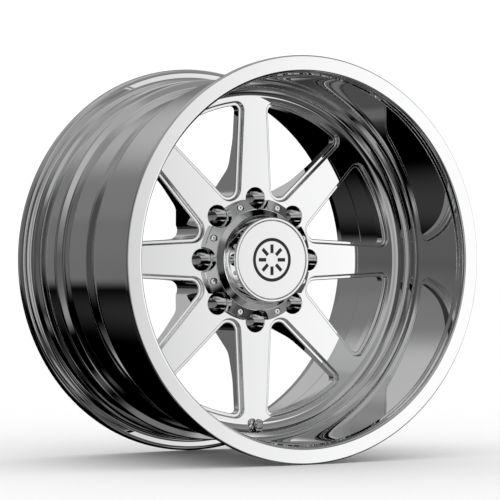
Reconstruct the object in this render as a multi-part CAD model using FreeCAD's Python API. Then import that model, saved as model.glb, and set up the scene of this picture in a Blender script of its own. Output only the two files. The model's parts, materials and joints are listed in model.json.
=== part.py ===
import FreeCAD, Part
import math
import os

# Forged 20 x 12 wheel for an eight-stud hub, in millimetres.
# The origin is the wheel's centre.  The wheel turns about Y, its outer face looks
# towards -Y, and +Z is up.  Every section below is a list of (radius, y, rounding).

# ---- Driving dimensions: rim ----
BEAD_SEAT_R = 512.8 / 2            # 20 inch bead seat
RIM_WIDTH = 304.8                  # 12 inches between the flanges
FLANGE_HEIGHT = 17.3               # J flange
FLANGE_THICK = 12.4
FLANGE_R = BEAD_SEAT_R + FLANGE_HEIGHT
HALF_SEATS = RIM_WIDTH / 2
HALF_WIDTH = HALF_SEATS + FLANGE_THICK
FLANGE_EDGE = 7.6                  # width of the flange's outer edge
SEAT_RUN = 21.5                    # length of the 5 degree bead seat
SEAT_LOW_R = BEAD_SEAT_R - 1.9     # seat's low end
HUMP_RUN = 26.5                    # from the flange to the hump's crest
HUMP_R = BEAD_SEAT_R - 0.4
FRONT_WALL_R = 254.5               # barrel between the outer seat and the well
FRONT_WALL_RUN = 32.0              # from the flange to the start of that wall
WELL_R = 243.6                     # drop centre
WELL_FROM_Y = 14.0
WELL_TO_Y = 78.6
REAR_BAND_R = 255.0
REAR_BAND_FROM_Y = 84.9
REAR_BAND_TO_Y = 109.0
REAR_STEP_R = FRONT_WALL_R - 0.6   # low step between the rear band and its hump
REAR_STEP_FROM_Y = 113.0
REAR_STEP_TO_Y = 119.5
LIP_R = 248.0                      # inside of the deep lip
LIP_MOUTH_R = 250.5
LIP_MOUTH_DEPTH = 10.5
LIP_FOOT_R = LIP_R - 2.6           # lip's foot on the ledge
LIP_FOOT_RISE = 10.5
REAR_INNER_R = 249.0
REAR_CONE_FROM_Y = 82.9            # cone from the bore out to the rear wall
REAR_CONE_TO_Y = 89.0
BORE_R = 238.2                     # barrel's bore that takes the spoke centre
LEDGE_Y = -34.0                    # step between the lip and that bore
WELD_LAND = 0.6                    # front weld's foot below the spoke faces
REAR_WELD_LEG = 4.0                # rear weld's width on the spoke centre
REAR_WELD_RUN = 6.0                # and its length along the bore
REAR_WELD_ROOT = 3.0               # depth of its root under the ring's rear face
REAR_WELD_CROWN = (3.4, 3.2)       # crown's height off the bore and y past the ring

# ---- Driving dimensions: spoke centre ----
FACE_Y = -22.6                     # flat face of the spokes
PAD_Y = 44.3                       # mounting face, 44 mm behind the rim's centre
PAD_R = 100.8
RIM_RING_REAR_Y = 6.0
COVE_START_R = 225.0
COVE_END = (236.2, -27.2)          # radius and y where the cove meets the weld
BACK_NEAR_RIM_Y = -4.6             # back of the spokes, from the rim to the pad
BACK_MIDDLE = (168.0, -3.8)
BACK_BEND = (131.0, 5.0)
BACK_PAD_FOOT = (104.2, 40.0)
SPOKES = 8
SPOKE_STEP = 360.0 / SPOKES
SPOKE_HALF_100 = 23.3              # spoke's half width at 100 mm from the axis
SPOKE_TAPER = 0.0476               # half width lost per mm of radius
WINDOW_OUTER_R = 219.8
SPOKE_MIDDLE_R = 150.0
WINDOW_TIP_ROUND = 17.5
WINDOW_CORNER_ROUND = 12.0
WINDOW_LEDGE = 5.5                 # ledge round each window: its width and depth
HUB_BORE_R = 62.55
HUB_COUNTERBORE_R = 64.0
HUB_COUNTERBORE_Y = -6.0
HUB_CHAMFER = 1.5
STUD_PCD = 170.0
STUD_HOLE_R = 8.0
NUT_WELL_R = 14.7
NUT_WELL_DEPTH = 38.0
NUT_SEAT_HALF_ANGLE = 30.0
NUT_WELL_CHAMFER = 0.8
TAPPED_DEPTH = 15.0                # tapped holes of the cap screws
PAD_POCKET_R = 8.0                 # blind pockets in the mounting face
PAD_POCKET_DEPTH = 24.0
PAD_POCKET_CIRCLE_R = 80.0

# ---- Driving dimensions: hub cap ----
CAP_RING_TOP_Y = -35.2             # ring's inner top edge
CAP_TAB_R = 84.7
CAP_TAB_EDGE_Y = -29.4             # tabs slope down to here
CAP_TAB_CHAMFER = (0.6, 0.8)       # radius and y
CAP_RING_BORE_R = 60.2
NOTCH_R = 17.0                     # round notch in front of each nut well
NOTCH_X = STUD_PCD / 2 + 0.8
FLARE_FROM = (-5.0, -0.8)          # notch's mouth: x from its centre, width past NOTCH_R
FLARE_TO = (6.0, 4.6)
CAP_SCREW_CIRCLE_R = 77.2
CAP_SCREW_R = 2.5
CAP_SCREW_HEAD_R = 4.25
CAP_SCREW_TOP_Y = -32.6
CAP_SCREW_HEAD_H = 4.4
CAP_SCREW_SHANK = 14.0
SCREW_SOCKET_R = 2.0
SCREW_SOCKET_DEPTH = 2.6
SCREW_BORE_GAP = 0.25              # round the shank
SCREW_SINK_GAP = 0.75              # round the head
CAP_FACE_Y = -68.4
CAP_WALL_R = 58.9
CAP_DISC_R = 54.1
CAP_FLANGE_R = 69.4
CAP_SPIGOT_R = 59.6
CAP_SHELL = 4.0                    # wall behind the spigot
CAP_END_THICK = 5.0
CAP_FOOT_THICK = 1.2
CAP_FLARE_Y = -43.0                # where the cap's wall starts to flare
DISC_SEAT_DEPTH = 2.0              # recess that takes the face disc
DISC_GAP = 0.2
DISC_SINK = 0.6                    # disc's face below the cap's edge
SPIGOT_TIP_Y = FACE_Y + 4.6
O_RING_GROOVE = (-31.4, -28.8, 1.3)    # from y, to y, depth
O_RING_SECTION_R = 0.95
SNAP_RING_GROOVE = (1.6, 1.2)      # width and depth
SNAP_RING_THICK = 1.5
SNAP_RING_REACH = 1.6              # past the bore
SNAP_RING_BITE = 1.1               # into the spigot
SNAP_RING_GAP = 12.0
MARK_RING = (25.5, 30.0)           # plain mark: inner and outer radius of its ring
MARK_BAR = (9.0, 12.0, 5.0)        # start radius, length and width of each bar
MARK_DEPTH = 0.6
MARK_THICK = 0.65
MARK_GAP = 0.03

# ---- Driving dimensions: valve ----
VALVE_SEAT = (0.0, -25.0, -234.0)  # middle of the nut's seat
VALVE_LEAN = 38.0                  # degrees forward of pointing at the axis
VALVE_GRIP = 15.2                  # metal clamped between the two seats
VALVE_HOLE_R = 5.65
VALVE_NUT_SPOT_R = 9.4             # flat cut for the nut, and how far it is cut outwards
VALVE_NUT_SPOT_HEIGHT = 24.0
VALVE_FOOT_SPOT_R = 8.8            # flat cut for the foot, and how far inwards
VALVE_FOOT_SPOT_LOW = -44.8
VALVE_FOOT_R = 8.0
VALVE_FOOT_LOW = -VALVE_GRIP - 5.2
VALVE_FOOT_TOP = -VALVE_GRIP - 2.2
VALVE_AIR_R = 1.6
VALVE_STEM_R = 4.1
VALVE_THREAD_R = 3.85
VALVE_GROMMET_TOP = 1.4
VALVE_WASHER_TOP = 2.0
VALVE_NUT_TOP = 6.2
VALVE_TOP = 12.6                   # end of the stem
VALVE_CAP_R = 5.8
VALVE_CAP_LOW = VALVE_NUT_TOP + 1.2
VALVE_CAP_HIGH = VALVE_TOP + 2.8
VALVE_CAP_INNER_END = VALVE_TOP + 1.4
VALVE_CAP_THREAD_GAP = 0.06
CAP_FLUTES = 10
CAP_FLUTE = (0.75, 3.6, 0.8)       # radius, length and height above the cap's foot
GROMMET_R = 6.9
INNER_GROMMET_R = 7.8
INNER_GROMMET_NECK = 4.0
WASHER_R = 7.2
NUT_ACROSS_FLATS = 15.0
NUT_CONE = (4.0, 1.2)              # chamfer cone: extra radius, and start below the nut
CORE_BORE_R = 2.7
CORE_BORE_DEPTH = 9.6
CORE_BORE_TAPER = 3.0
CORE_R = 2.6
CORE_TIP_R = 2.0
CORE_CAVITY_R = 1.7
CORE_LOW = VALVE_TOP - 9.4
CORE_HIGH = VALVE_TOP - 1.0
PIN_R = 0.75
PIN_BORE_R = PIN_R + 0.07
PIN_LOW = VALVE_TOP - 12.2
PIN_HIGH = VALVE_TOP - 0.4
PIN_COLLAR = (1.4, VALVE_TOP - 4.0, VALVE_TOP - 3.4)   # radius, low and high
SPRING_R = 1.2                     # coil of the core's spring
SPRING_WIRE_R = 0.2
SPRING_PITCH = 0.85
SPRING_HEIGHT = 3.3
SPRING_LOW = VALVE_TOP - 7.55

AXIS = FreeCAD.Vector(0, 1, 0)
CENTRE = FreeCAD.Vector(0, 0, 0)
Z_AXIS = FreeCAD.Vector(0, 0, 1)


def rounded_wire(points):
    """Closed outline in the XY plane whose corners are arcs of the given radii."""
    corners = []
    count = len(points)
    for i in range(count):
        here = FreeCAD.Vector(points[i][0], points[i][1], 0)
        before = FreeCAD.Vector(points[i - 1][0], points[i - 1][1], 0)
        after = FreeCAD.Vector(points[(i + 1) % count][0], points[(i + 1) % count][1], 0)
        radius = points[i][2] if len(points[i]) > 2 else 0.0
        to_before = (before - here).normalize()
        to_after = (after - here).normalize()
        half = to_before.getAngle(to_after) / 2
        if radius <= 0 or abs(half - math.pi / 2) < 1e-4:
            corners.append((here, None, here))
            continue
        setback = radius / math.tan(half)
        start = here + to_before * setback
        end = here + to_after * setback
        middle_dir = (to_before + to_after).normalize()
        middle = here + middle_dir * (radius / math.sin(half) - radius)
        corners.append((start, middle, end))
    edges = []
    for i in range(count):
        start, middle, end = corners[i]
        if middle is not None:
            edges.append(Part.Arc(start, middle, end).toShape())
        following = corners[(i + 1) % count][0]
        if (following - end).Length > 1e-6:
            edges.append(Part.LineSegment(end, following).toShape())
    return Part.Wire(edges)


def turned(points):
    """Solid of revolution about the wheel's axis."""
    return Part.Face(rounded_wire(points)).revolve(CENTRE, AXIS, 360)


def disc_plug(radius, y_from, y_to, x=0.0, z=0.0):
    """Cylinder along Y between two y positions."""
    return Part.makeCylinder(radius, y_to - y_from, FreeCAD.Vector(x, y_from, z), AXIS)


def around(shape, angle):
    """Copy turned about the wheel's axis, in degrees."""
    copy = shape.copy()
    copy.rotate(CENTRE, AXIS, angle)
    return copy


def ring_of(shape, first_angle=0.0):
    """One copy for each spoke."""
    return [around(shape, first_angle + i * SPOKE_STEP) for i in range(SPOKES)]


def save(name, shape):
    """Write one node, and stop if its solid is not sound."""
    if not shape.isValid() or shape.Volume <= 0:
        raise RuntimeError("bad solid: " + name)
    shape.exportStep("parts/" + name + ".step")


# ---- Rim ----
def rim_flange(side):
    """Points of one flange from its face to its bead seat; side is -1 in front, 1 behind."""
    edge_y = side * (HALF_WIDTH - FLANGE_EDGE)
    return [
        (FLANGE_R, side * HALF_WIDTH, 2.0),
        (FLANGE_R, edge_y, 1.2),
        (FLANGE_R - 2.6, side * HALF_SEATS, 6.5),
        (BEAD_SEAT_R, side * HALF_SEATS, 6.0),
        (SEAT_LOW_R, side * (HALF_SEATS - SEAT_RUN), 4.0),
        (HUMP_R, side * (HALF_SEATS - HUMP_RUN), 3.0),
    ]


def barrel_section():
    front = rim_flange(-1)
    rear = list(reversed(rim_flange(1)))
    well = [
        (FRONT_WALL_R, -HALF_SEATS + FRONT_WALL_RUN, 5.0),
        (FRONT_WALL_R, LEDGE_Y, 30.0),
        (WELL_R, WELL_FROM_Y, 20.0),
        (WELL_R, WELL_TO_Y, 6.0),
        (REAR_BAND_R, REAR_BAND_FROM_Y, 4.0),
        (REAR_BAND_R, REAR_BAND_TO_Y, 2.5),
        (REAR_STEP_R, REAR_STEP_FROM_Y, 2.5),
        (REAR_STEP_R, REAR_STEP_TO_Y, 2.5),
    ]
    inside = [
        (REAR_INNER_R + 1.5, HALF_WIDTH, 4.0),
        (REAR_INNER_R, HALF_WIDTH - 16.0, 20.0),
        (REAR_INNER_R, REAR_CONE_TO_Y, 9.0),
        (BORE_R, REAR_CONE_FROM_Y, 9.0),
        (BORE_R, LEDGE_Y, 0.5),
        (LIP_FOOT_R, LEDGE_Y, 2.5),
        (LIP_R, LEDGE_Y - LIP_FOOT_RISE, 8.0),
        (LIP_R, -HALF_WIDTH + LIP_MOUTH_DEPTH + 3.5, 3.0),
        (LIP_MOUTH_R, -HALF_WIDTH + LIP_MOUTH_DEPTH, 2.0),
        (LIP_MOUTH_R, -HALF_WIDTH, 4.1),
    ]
    return front + well + rear + inside


def weld_bead_front():
    """Weld in the groove in front of the joint, machined to a steep step."""
    return turned([
        COVE_END,
        (BORE_R, LEDGE_Y),
        (BORE_R, FACE_Y + WELD_LAND),
    ])


def weld_bead_rear():
    """Rounded fillet weld behind the joint."""
    crown_height, crown_y = REAR_WELD_CROWN
    toe = FreeCAD.Vector(BORE_R, RIM_RING_REAR_Y + REAR_WELD_RUN, 0)
    crown = FreeCAD.Vector(BORE_R - crown_height, RIM_RING_REAR_Y + crown_y, 0)
    foot = FreeCAD.Vector(BORE_R - REAR_WELD_LEG, RIM_RING_REAR_Y, 0)
    root = FreeCAD.Vector(BORE_R, RIM_RING_REAR_Y - REAR_WELD_ROOT, 0)
    edges = [
        Part.Arc(foot, crown, toe).toShape(),
        Part.LineSegment(toe, root).toShape(),
        Part.LineSegment(root, foot).toShape(),
    ]
    return Part.Face(Part.Wire(edges)).revolve(CENTRE, AXIS, 360)


# ---- Spoke centre ----
def centre_blank():
    """The forging before its windows and holes are cut."""
    cove_rise = FACE_Y - COVE_END[1]
    cove_run = COVE_END[0] - COVE_START_R
    cove_radius = (cove_run ** 2 + cove_rise ** 2) / (2 * cove_rise)
    cove_sweep = math.asin(cove_run / cove_radius)
    corner = (COVE_START_R + cove_radius * math.tan(cove_sweep / 2), FACE_Y, cove_radius)
    return turned([
        (HUB_COUNTERBORE_R, FACE_Y),
        corner,
        COVE_END,
        (BORE_R, FACE_Y + WELD_LAND),
        (BORE_R, RIM_RING_REAR_Y - REAR_WELD_ROOT),
        (BORE_R - REAR_WELD_LEG, RIM_RING_REAR_Y),
        (WINDOW_OUTER_R + 5.0, RIM_RING_REAR_Y, 3.0),
        (WINDOW_OUTER_R - 4.0, BACK_NEAR_RIM_Y, 10.0),
        (*BACK_MIDDLE, 80.0),
        (*BACK_BEND, 25.0),
        (*BACK_PAD_FOOT, 4.0),
        (PAD_R, PAD_Y, 2.0),
        (HUB_BORE_R + HUB_CHAMFER, PAD_Y),
        (HUB_BORE_R, PAD_Y - HUB_CHAMFER),
        (HUB_BORE_R, HUB_COUNTERBORE_Y),
        (HUB_COUNTERBORE_R, HUB_COUNTERBORE_Y - 1.45),
    ])


def upright_edges(prism, x_from, x_to):
    """Edges of a prism that run along Y, between two x positions."""
    found = []
    for edge in prism.Edges:
        if len(edge.Vertexes) != 2:
            continue
        first, last = [vertex.Point for vertex in edge.Vertexes]
        if abs(first.y - last.y) > 1.0 and x_from < first.x < x_to:
            found.append(edge)
    return found


def window_prism(inset, y_from, y_to):
    """Prism of one spoke window, centred on +X and drawn in by inset."""
    half_step = math.radians(SPOKE_STEP / 2)
    spoke_dir = FreeCAD.Vector(math.cos(half_step), 0, math.sin(half_step))
    towards = FreeCAD.Vector(math.sin(half_step), 0, -math.cos(half_step))

    def side_point(radius):
        half_width = SPOKE_HALF_100 - SPOKE_TAPER * (radius - 100.0) + inset
        return spoke_dir * radius + towards * half_width

    near = side_point(HUB_BORE_R)
    far = side_point(BORE_R)
    slope = (far.z - near.z) / (far.x - near.x)
    tip_x = near.x - near.z / slope
    outer_r = WINDOW_OUTER_R - inset
    # The side line meets the outer arc where x^2 + (slope (x - tip))^2 = outer_r^2.
    a = 1 + slope ** 2
    b = -2 * slope ** 2 * tip_x
    c = slope ** 2 * tip_x ** 2 - outer_r ** 2
    corner_x = (-b + math.sqrt(b * b - 4 * a * c)) / (2 * a)
    corner_z = slope * (corner_x - tip_x)
    tip = FreeCAD.Vector(tip_x, y_from, 0)
    upper = FreeCAD.Vector(corner_x, y_from, corner_z)
    lower = FreeCAD.Vector(corner_x, y_from, -corner_z)
    crest = FreeCAD.Vector(outer_r, y_from, 0)
    outline = Part.Wire([
        Part.LineSegment(tip, upper).toShape(),
        Part.Arc(upper, crest, lower).toShape(),
        Part.LineSegment(lower, tip).toShape(),
    ])
    prism = Part.Face(outline).extrude(FreeCAD.Vector(0, y_to - y_from, 0))
    tip_edge = upright_edges(prism, 0.0, SPOKE_MIDDLE_R)
    prism = prism.makeFillet(WINDOW_TIP_ROUND - inset, tip_edge)
    corner_edges = upright_edges(prism, SPOKE_MIDDLE_R, WINDOW_OUTER_R)
    return prism.makeFillet(WINDOW_CORNER_ROUND - inset, corner_edges)


def stud_hole():
    """Nut well, 60 degree nut seat and stud hole of one wheel stud, on +X."""
    seat_height = (NUT_WELL_R - STUD_HOLE_R) / math.tan(math.radians(NUT_SEAT_HALF_ANGLE))
    seat_top = FACE_Y + NUT_WELL_DEPTH
    section = rounded_wire([
        (0, FACE_Y - 1.0),
        (NUT_WELL_R + NUT_WELL_CHAMFER + 1.0, FACE_Y - 1.0),
        (NUT_WELL_R, FACE_Y + NUT_WELL_CHAMFER),
        (NUT_WELL_R, seat_top),
        (STUD_HOLE_R, seat_top + seat_height),
        (STUD_HOLE_R, PAD_Y + 1.0),
        (0, PAD_Y + 1.0),
    ])
    tool = Part.Face(section).revolve(CENTRE, AXIS, 360)
    tool.translate(FreeCAD.Vector(STUD_PCD / 2, 0, 0))
    return tool


def spoke_centre():
    tools = []
    tools += ring_of(window_prism(0.0, FACE_Y - 5.0, FACE_Y + WINDOW_LEDGE), SPOKE_STEP / 2)
    tools += ring_of(window_prism(WINDOW_LEDGE, FACE_Y - 5.0, PAD_Y + 5.0), SPOKE_STEP / 2)
    tools += ring_of(stud_hole())
    tapped = disc_plug(CAP_SCREW_R, FACE_Y - 1.0, FACE_Y + TAPPED_DEPTH, CAP_SCREW_CIRCLE_R)
    tools += ring_of(tapped, SPOKE_STEP / 2)
    pocket = disc_plug(PAD_POCKET_R, PAD_Y - PAD_POCKET_DEPTH, PAD_Y + 1.0, PAD_POCKET_CIRCLE_R)
    tools += ring_of(pocket, SPOKE_STEP / 2)
    return centre_blank().cut(tools + [valve_tool()])


# ---- Hub cap ----
def cap_base_ring():
    """Bolt-on ring with a tab between each pair of studs."""
    chamfer_r, chamfer_y = CAP_TAB_CHAMFER
    ring = turned([
        (CAP_RING_BORE_R, FACE_Y),
        (CAP_TAB_R, FACE_Y),
        (CAP_TAB_R, CAP_TAB_EDGE_Y + chamfer_y),
        (CAP_TAB_R - chamfer_r, CAP_TAB_EDGE_Y),
        (CAP_FLANGE_R + 0.6, CAP_RING_TOP_Y),
        (CAP_RING_BORE_R, CAP_RING_TOP_Y),
    ])
    below = CAP_RING_TOP_Y - 5.0
    above = FACE_Y + 5.0
    notch = disc_plug(NOTCH_R, below, above, NOTCH_X)
    near_x = NOTCH_X + FLARE_FROM[0]
    near_half = NOTCH_R + FLARE_FROM[1]
    far_x = NOTCH_X + FLARE_TO[0]
    far_half = NOTCH_R + FLARE_TO[1]
    flare = Part.Face(Part.makePolygon([
        FreeCAD.Vector(near_x, below, -near_half),
        FreeCAD.Vector(far_x, below, -far_half),
        FreeCAD.Vector(far_x, below, far_half),
        FreeCAD.Vector(near_x, below, near_half),
        FreeCAD.Vector(near_x, below, -near_half),
    ])).extrude(FreeCAD.Vector(0, above - below, 0))
    head_floor = CAP_SCREW_TOP_Y + CAP_SCREW_HEAD_H
    bore = disc_plug(CAP_SCREW_R + SCREW_BORE_GAP, below, above, CAP_SCREW_CIRCLE_R)
    sink = disc_plug(CAP_SCREW_HEAD_R + SCREW_SINK_GAP, below, head_floor, CAP_SCREW_CIRCLE_R)
    tools = ring_of(notch) + ring_of(flare)
    tools += ring_of(bore, SPOKE_STEP / 2) + ring_of(sink, SPOKE_STEP / 2)
    return ring.cut(tools)


def cap_screws():
    """Eight socket screws, one in each tab."""
    head_y = CAP_SCREW_TOP_Y
    under_head = head_y + CAP_SCREW_HEAD_H
    tip_y = under_head + CAP_SCREW_SHANK
    section = rounded_wire([
        (0, head_y + SCREW_SOCKET_DEPTH),
        (SCREW_SOCKET_R, head_y + SCREW_SOCKET_DEPTH),
        (SCREW_SOCKET_R, head_y),
        (CAP_SCREW_HEAD_R, head_y, 1.0),
        (CAP_SCREW_HEAD_R, under_head),
        (CAP_SCREW_R, under_head),
        (CAP_SCREW_R, tip_y),
        (0, tip_y),
    ])
    screw = Part.Face(section).revolve(CENTRE, AXIS, 360)
    screw.translate(FreeCAD.Vector(CAP_SCREW_CIRCLE_R, 0, 0))
    return Part.makeCompound(ring_of(screw, SPOKE_STEP / 2))


def cap_body():
    """Hollow cap: flat end, straight wall, flared foot and a spigot inside the ring."""
    flange_y = CAP_RING_TOP_Y - CAP_FOOT_THICK
    disc_floor = CAP_FACE_Y + DISC_SEAT_DEPTH
    inner_end = CAP_FACE_Y + CAP_END_THICK
    groove_from, groove_to, groove_depth = O_RING_GROOVE
    snap_width, snap_depth = SNAP_RING_GROOVE
    return turned([
        (0, disc_floor),
        (CAP_DISC_R, disc_floor),
        (CAP_DISC_R, CAP_FACE_Y, 0.5),
        (CAP_WALL_R, CAP_FACE_Y, 2.0),
        (CAP_WALL_R, CAP_FLARE_Y, 7.0),
        (CAP_FLANGE_R, flange_y, 0.5),
        (CAP_FLANGE_R, CAP_RING_TOP_Y),
        (CAP_SPIGOT_R, CAP_RING_TOP_Y),
        (CAP_SPIGOT_R, groove_from),
        (CAP_SPIGOT_R - groove_depth, groove_from),
        (CAP_SPIGOT_R - groove_depth, groove_to),
        (CAP_SPIGOT_R, groove_to),
        (CAP_SPIGOT_R, FACE_Y),
        (CAP_SPIGOT_R - snap_depth, FACE_Y),
        (CAP_SPIGOT_R - snap_depth, FACE_Y + snap_width),
        (CAP_SPIGOT_R, FACE_Y + snap_width),
        (CAP_SPIGOT_R, SPIGOT_TIP_Y, 0.8),
        (CAP_SPIGOT_R - CAP_SHELL, SPIGOT_TIP_Y),
        (CAP_SPIGOT_R - CAP_SHELL, inner_end, 3.0),
        (0, inner_end),
    ])


def cap_o_ring():
    """Seal squeezed between the ring's bore and the floor of its groove."""
    centre_y = (O_RING_GROOVE[0] + O_RING_GROOVE[1]) / 2
    ring = Part.makeTorus(CAP_RING_BORE_R - O_RING_SECTION_R, O_RING_SECTION_R, CENTRE, AXIS)
    ring.translate(FreeCAD.Vector(0, centre_y, 0))
    return ring


def cap_snap_ring():
    """Open circlip that holds the cap in its ring."""
    inner_r = CAP_SPIGOT_R - SNAP_RING_BITE
    outer_r = CAP_RING_BORE_R + SNAP_RING_REACH
    ring = turned([
        (inner_r, FACE_Y),
        (outer_r, FACE_Y),
        (outer_r, FACE_Y + SNAP_RING_THICK),
        (inner_r, FACE_Y + SNAP_RING_THICK),
    ])
    corner = FreeCAD.Vector(inner_r - 5.0, FACE_Y - 2.0, -SNAP_RING_GAP / 2)
    gap = Part.makeBox(outer_r - inner_r + 10.0, 6.0, SNAP_RING_GAP, corner)
    return ring.cut(gap)


def emblem_bars(y_from, y_to, grow):
    """Plain mark of the cap: eight bars inside a ring, like a small wheel."""
    inner_r, outer_r = MARK_RING
    start_r, length, width = MARK_BAR
    hole = disc_plug(inner_r - grow, y_from - 1.0, y_to + 1.0)
    outer = disc_plug(outer_r + grow, y_from, y_to).cut(hole)
    corner = FreeCAD.Vector(start_r - grow, y_from, -width / 2 - grow)
    bar = Part.makeBox(length + 2 * grow, y_to - y_from, width + 2 * grow, corner)
    return [outer] + ring_of(bar)


def cap_face_disc():
    """Satin disc that fills the recess in the cap's end."""
    top = CAP_FACE_Y + DISC_SINK
    disc = turned([
        (0, top),
        (CAP_DISC_R - DISC_GAP, top, 0.3),
        (CAP_DISC_R - DISC_GAP, CAP_FACE_Y + DISC_SEAT_DEPTH),
        (0, CAP_FACE_Y + DISC_SEAT_DEPTH),
    ])
    return disc.cut(emblem_bars(top - 0.5, top + MARK_DEPTH, 0.0))


def cap_emblem():
    """Inlay that fills the disc's mark."""
    top = CAP_FACE_Y + DISC_SINK - 0.05
    return Part.makeCompound(emblem_bars(top, top + MARK_THICK, -MARK_GAP))


# ---- Valve ----
def valve_placement():
    """From the valve's own frame, whose Z leaves the wheel, to the wheel's frame."""
    spin = FreeCAD.Rotation(FreeCAD.Vector(1, 0, 0), VALVE_LEAN)
    return FreeCAD.Placement(FreeCAD.Vector(*VALVE_SEAT), spin)


def on_valve(shape):
    shape.Placement = valve_placement().multiply(shape.Placement)
    return shape


def valve_turned(points):
    """Solid of revolution about the valve's axis, from (radius, height, rounding)."""
    face = Part.Face(rounded_wire(points))
    face.rotate(CENTRE, FreeCAD.Vector(1, 0, 0), 90)
    return on_valve(face.revolve(CENTRE, Z_AXIS, 360))


def valve_tube(outer, inner, low, high):
    return valve_turned([(inner, low), (outer, low), (outer, high), (inner, high)])


def valve_tool():
    """Hole with a flat nut seat outside and a recessed grommet seat inside."""
    return valve_turned([
        (0, VALVE_FOOT_SPOT_LOW),
        (VALVE_FOOT_SPOT_R, VALVE_FOOT_SPOT_LOW),
        (VALVE_FOOT_SPOT_R, -VALVE_GRIP),
        (VALVE_HOLE_R, -VALVE_GRIP),
        (VALVE_HOLE_R, 0),
        (VALVE_NUT_SPOT_R, 0),
        (VALVE_NUT_SPOT_R, VALVE_NUT_SPOT_HEIGHT),
        (0, VALVE_NUT_SPOT_HEIGHT),
    ])


def valve_stem():
    """Stem with a broad foot, a groove above the nut and a threaded end."""
    return valve_turned([
        (VALVE_AIR_R, VALVE_FOOT_LOW),
        (VALVE_FOOT_R, VALVE_FOOT_LOW, 1.0),
        (VALVE_FOOT_R, VALVE_FOOT_TOP, 0.4),
        (VALVE_STEM_R, VALVE_FOOT_TOP),
        (VALVE_STEM_R, VALVE_NUT_TOP + 0.2),
        (VALVE_THREAD_R - 0.5, VALVE_NUT_TOP + 0.6),
        (VALVE_THREAD_R - 0.5, VALVE_NUT_TOP + 1.0),
        (VALVE_THREAD_R, VALVE_NUT_TOP + 1.3),
        (VALVE_THREAD_R, VALVE_TOP),
        (CORE_BORE_R, VALVE_TOP),
        (CORE_BORE_R, VALVE_TOP - CORE_BORE_DEPTH),
        (VALVE_AIR_R, VALVE_TOP - CORE_BORE_DEPTH - CORE_BORE_TAPER),
    ])


def valve_inner_grommet():
    return valve_turned([
        (VALVE_STEM_R, VALVE_FOOT_TOP),
        (INNER_GROMMET_R, VALVE_FOOT_TOP, 0.6),
        (INNER_GROMMET_R, -VALVE_GRIP),
        (VALVE_HOLE_R - 0.05, -VALVE_GRIP),
        (VALVE_HOLE_R - 0.05, -VALVE_GRIP + INNER_GROMMET_NECK),
        (VALVE_STEM_R, -VALVE_GRIP + INNER_GROMMET_NECK),
    ])


def valve_nut():
    """Hexagon nut with a chamfered top."""
    low = VALVE_WASHER_TOP
    high = VALVE_NUT_TOP
    cone_extra, cone_below = NUT_CONE
    corner_r = NUT_ACROSS_FLATS / math.sqrt(3)
    corners = []
    for i in range(7):
        angle = math.radians(60 * i)
        corners.append(FreeCAD.Vector(corner_r * math.cos(angle), corner_r * math.sin(angle), low))
    prism = Part.Face(Part.makePolygon(corners)).extrude(FreeCAD.Vector(0, 0, high - low))
    dome = Part.makeCone(corner_r + cone_extra, NUT_ACROSS_FLATS / 2, high - low + cone_below,
                         FreeCAD.Vector(0, 0, low - cone_below), Z_AXIS)
    hole = Part.makeCylinder(VALVE_STEM_R, high, FreeCAD.Vector(0, 0, 0), Z_AXIS)
    return on_valve(prism.common(dome).cut(hole))


def valve_core_housing():
    """Body of the valve core: a tube with a lip at each end that guides the pin."""
    return valve_turned([
        (PIN_BORE_R, CORE_LOW),
        (CORE_TIP_R, CORE_LOW),
        (CORE_R, CORE_LOW + 1.4),
        (CORE_R, CORE_HIGH),
        (PIN_BORE_R, CORE_HIGH),
        (PIN_BORE_R, CORE_HIGH - 1.0),
        (CORE_CAVITY_R, CORE_HIGH - 1.0),
        (CORE_CAVITY_R, CORE_LOW + 1.6),
        (PIN_BORE_R, CORE_LOW + 1.6),
    ])


def valve_core_pin():
    """Plunger with a collar that the spring lifts."""
    collar_r, collar_low, collar_high = PIN_COLLAR
    return valve_turned([
        (0, PIN_LOW),
        (PIN_R, PIN_LOW),
        (PIN_R, collar_low),
        (collar_r, collar_low),
        (collar_r, collar_high),
        (PIN_R, collar_high),
        (PIN_R, PIN_HIGH, 0.3),
        (0, PIN_HIGH),
    ])


def valve_core_spring():
    """Coil of eight-sided wire between the housing's floor and the pin's collar."""
    helix = Part.makeHelix(SPRING_PITCH, SPRING_HEIGHT, SPRING_R)
    corners = []
    for i in range(9):
        angle = math.radians(45 * i + 22.5)
        x = SPRING_R + SPRING_WIRE_R * math.cos(angle)
        corners.append(FreeCAD.Vector(x, 0, SPRING_WIRE_R * math.sin(angle)))
    coil = Part.Wire(helix.Edges).makePipeShell([Part.makePolygon(corners)], True, True)
    coil.translate(FreeCAD.Vector(0, 0, SPRING_LOW))
    return on_valve(coil)


def valve_cap():
    """Domed screw cap with grip flutes."""
    flute_r, flute_length, flute_rise = CAP_FLUTE
    flute_circle_r = VALVE_CAP_R + 0.4
    bore_r = VALVE_THREAD_R + VALVE_CAP_THREAD_GAP
    cap = valve_turned([
        (bore_r, VALVE_CAP_LOW),
        (VALVE_CAP_R, VALVE_CAP_LOW, 0.4),
        (VALVE_CAP_R, VALVE_CAP_HIGH, 2.6),
        (0, VALVE_CAP_HIGH),
        (0, VALVE_CAP_INNER_END),
        (bore_r, VALVE_CAP_INNER_END),
    ])
    flutes = []
    for i in range(CAP_FLUTES):
        angle = math.radians(360 / CAP_FLUTES * i)
        x = flute_circle_r * math.cos(angle)
        y = flute_circle_r * math.sin(angle)
        foot = FreeCAD.Vector(x, y, VALVE_CAP_LOW + flute_rise)
        flutes.append(on_valve(Part.makeCylinder(flute_r, flute_length, foot, Z_AXIS)))
    return cap.cut(flutes)


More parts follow.
